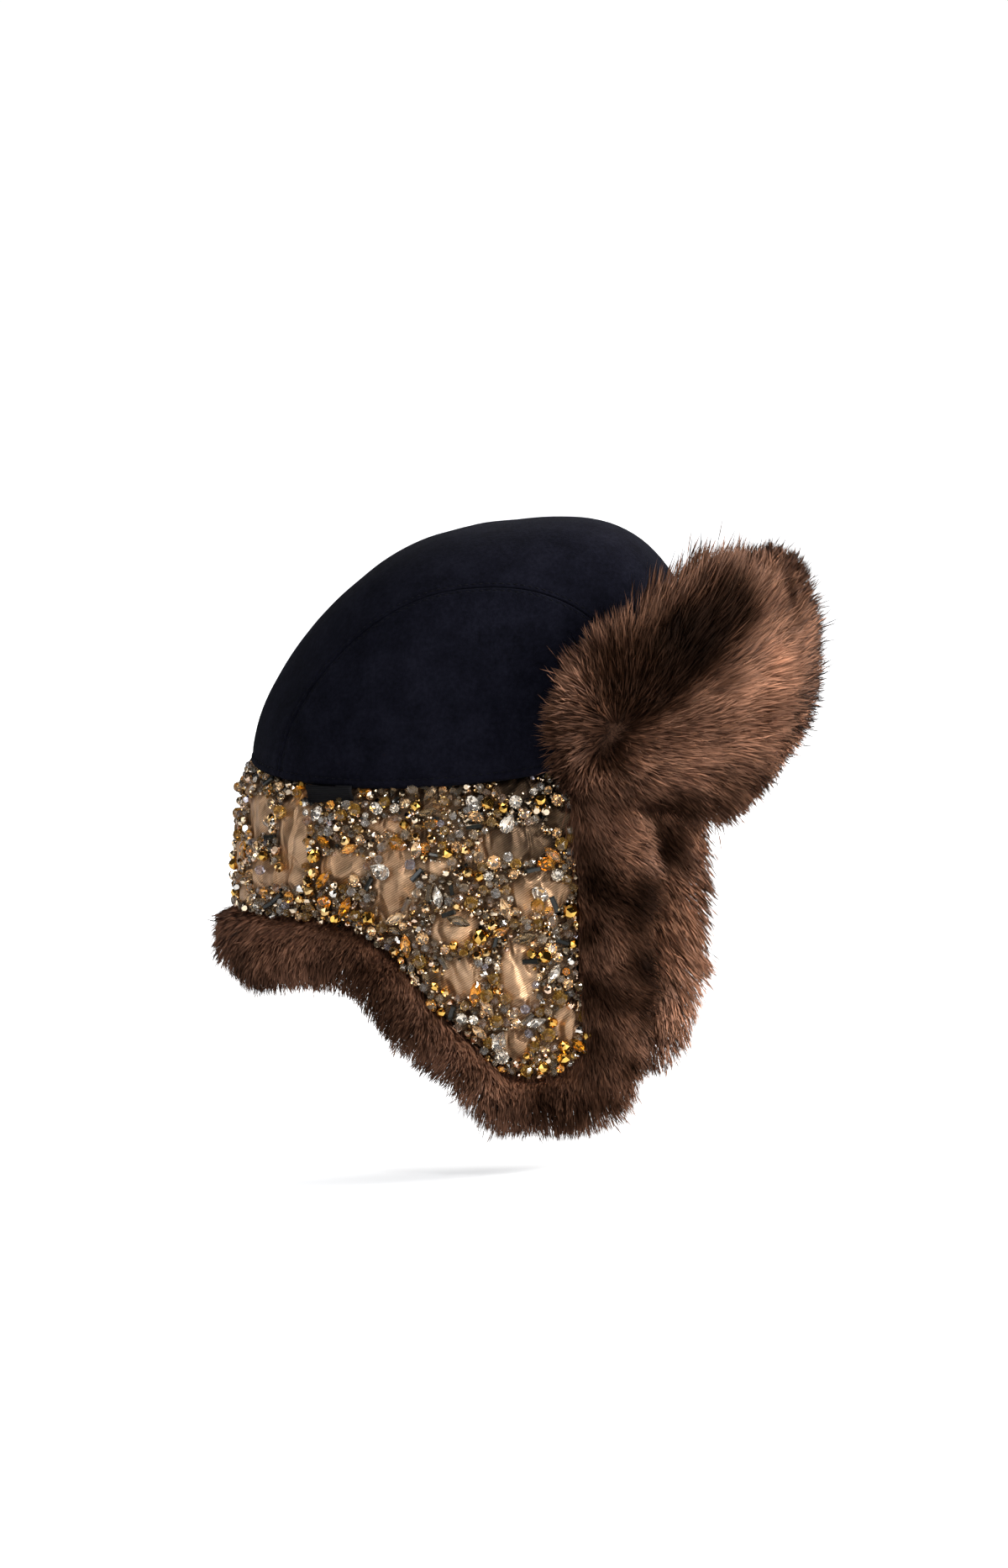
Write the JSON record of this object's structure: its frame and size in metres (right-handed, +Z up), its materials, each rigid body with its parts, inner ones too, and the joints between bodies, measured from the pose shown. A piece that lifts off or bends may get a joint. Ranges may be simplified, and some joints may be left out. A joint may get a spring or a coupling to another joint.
{
  "type": "shearling hat with ear flaps",
  "caption": "Winter hat with a domed wool felt crown, a stone-set satin band, long ear flaps lined with shearling and an upturned fur front flap.",
  "frame": {"origin": "inside top of the crown, where the top of the wearer's head touches it", "axes": "-Y is the front of the hat, -X is the wearer's right, +Z is up"},
  "size_m": [0.21, 0.3082, 0.2801],
  "materials": {
    "felt": "matte wool felt",
    "satin": "bronze satin twill set with glass stones",
    "fur": "brown shearling",
    "suede": "dark suede",
    "label": "woven tab, bare",
    "crystal": "faceted"
  },
  "bodies": {
    "root": {"crown_center_panel": "felt", "crown_side_right": "felt", "crown_side_left": "felt", "satin_band_right": "satin", "satin_band_left": "satin", "label_tab": "label", "fur_flap_right": "fur", "fur_flap_left": "fur", "visor_fur": "fur", "visor_skin": "suede"}
  },
  "joints": []
}
